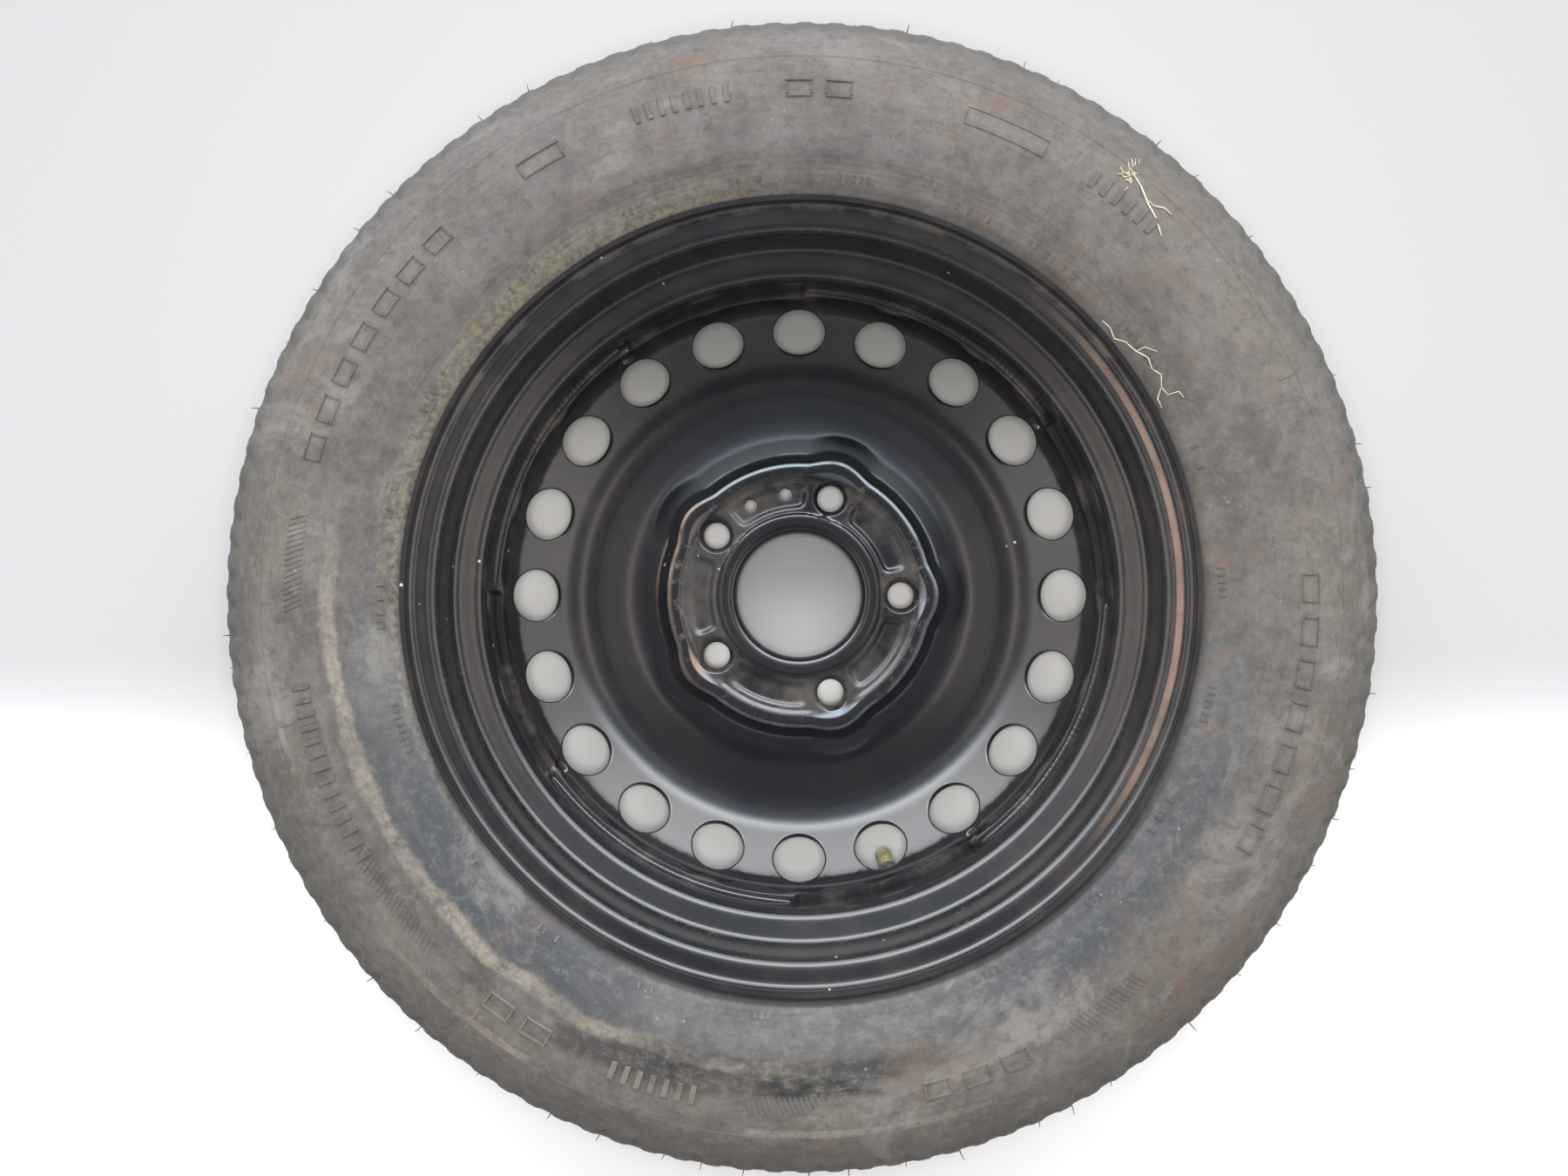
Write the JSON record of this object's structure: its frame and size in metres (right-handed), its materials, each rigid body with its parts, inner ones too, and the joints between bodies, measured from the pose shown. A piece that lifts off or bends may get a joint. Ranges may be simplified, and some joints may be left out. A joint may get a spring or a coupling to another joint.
{
  "type": "spare wheel",
  "caption": "Narrow temporary spare wheel: dusty tubeless tyre on a black pressed-steel rim and vented disc, with bolt holes, drain holes and a snap-in valve.",
  "frame": {"origin": "centre of the wheel, on its axis and midway between the two side walls", "axes": "+Z along the wheel's axis towards the car, the side the picture shows; the wheel lies flat with that side up; +X is right and +Y is up in the picture"},
  "size_m": [0.6058, 0.6058, 0.1282],
  "materials": {
    "tyre": "dusty rubber",
    "rim_paint": "gloss black paint",
    "disc_paint": "gloss black paint",
    "weld_paint": "gloss black paint over weld beads",
    "valve_rubber": "matt",
    "valve_brass": "dull",
    "core_brass": "dull",
    "gasket": "matt",
    "spring_steel": "bright",
    "cap_plastic": "matt, dusty"
  },
  "bodies": {
    "wheel": {"tyre": "tyre", "rim": "rim_paint", "wheel_disc": "disc_paint", "rim_disc_welds": "weld_paint", "valve_body": "valve_rubber", "valve_stem": "valve_brass", "valve_core_plug": "core_brass", "valve_core_gasket": "gasket", "valve_core_barrel": "core_brass", "valve_core_spring": "spring_steel"},
    "core_pin": {"valve_core_pin": "core_brass", "valve_core_cup": "valve_rubber"},
    "cap_seal": {"valve_cap_seal": "valve_rubber"},
    "cap": {"valve_cap": "cap_plastic"}
  },
  "joints": [
    {"name": "valve_pin_press", "type": "slide", "parent": "wheel", "child": "core_pin", "axis": [0.1619, -0.4983, 0.8517], "range_m": [0, 0.0012], "stiffness_N_per_m": 250, "springref_m": -0.002, "deforming": ["valve_core_spring"]},
    {"name": "valve_cap_lift", "type": "slide", "parent": "wheel", "child": "cap_seal", "axis": [-0.1619, 0.4983, -0.8517], "range_m": [0, 0.00437]},
    {"name": "valve_cap_turn", "type": "hinge", "parent": "cap_seal", "child": "cap", "pos_m": [0.055, -0.16929, -0.0225], "axis": [-0.1619, 0.4983, -0.8517], "range_deg": [0, 1980]}
  ],
  "couplings": [
    {"joint": "valve_cap_turn", "follows": "valve_cap_lift", "rad_per_m": 7911.4}
  ]
}
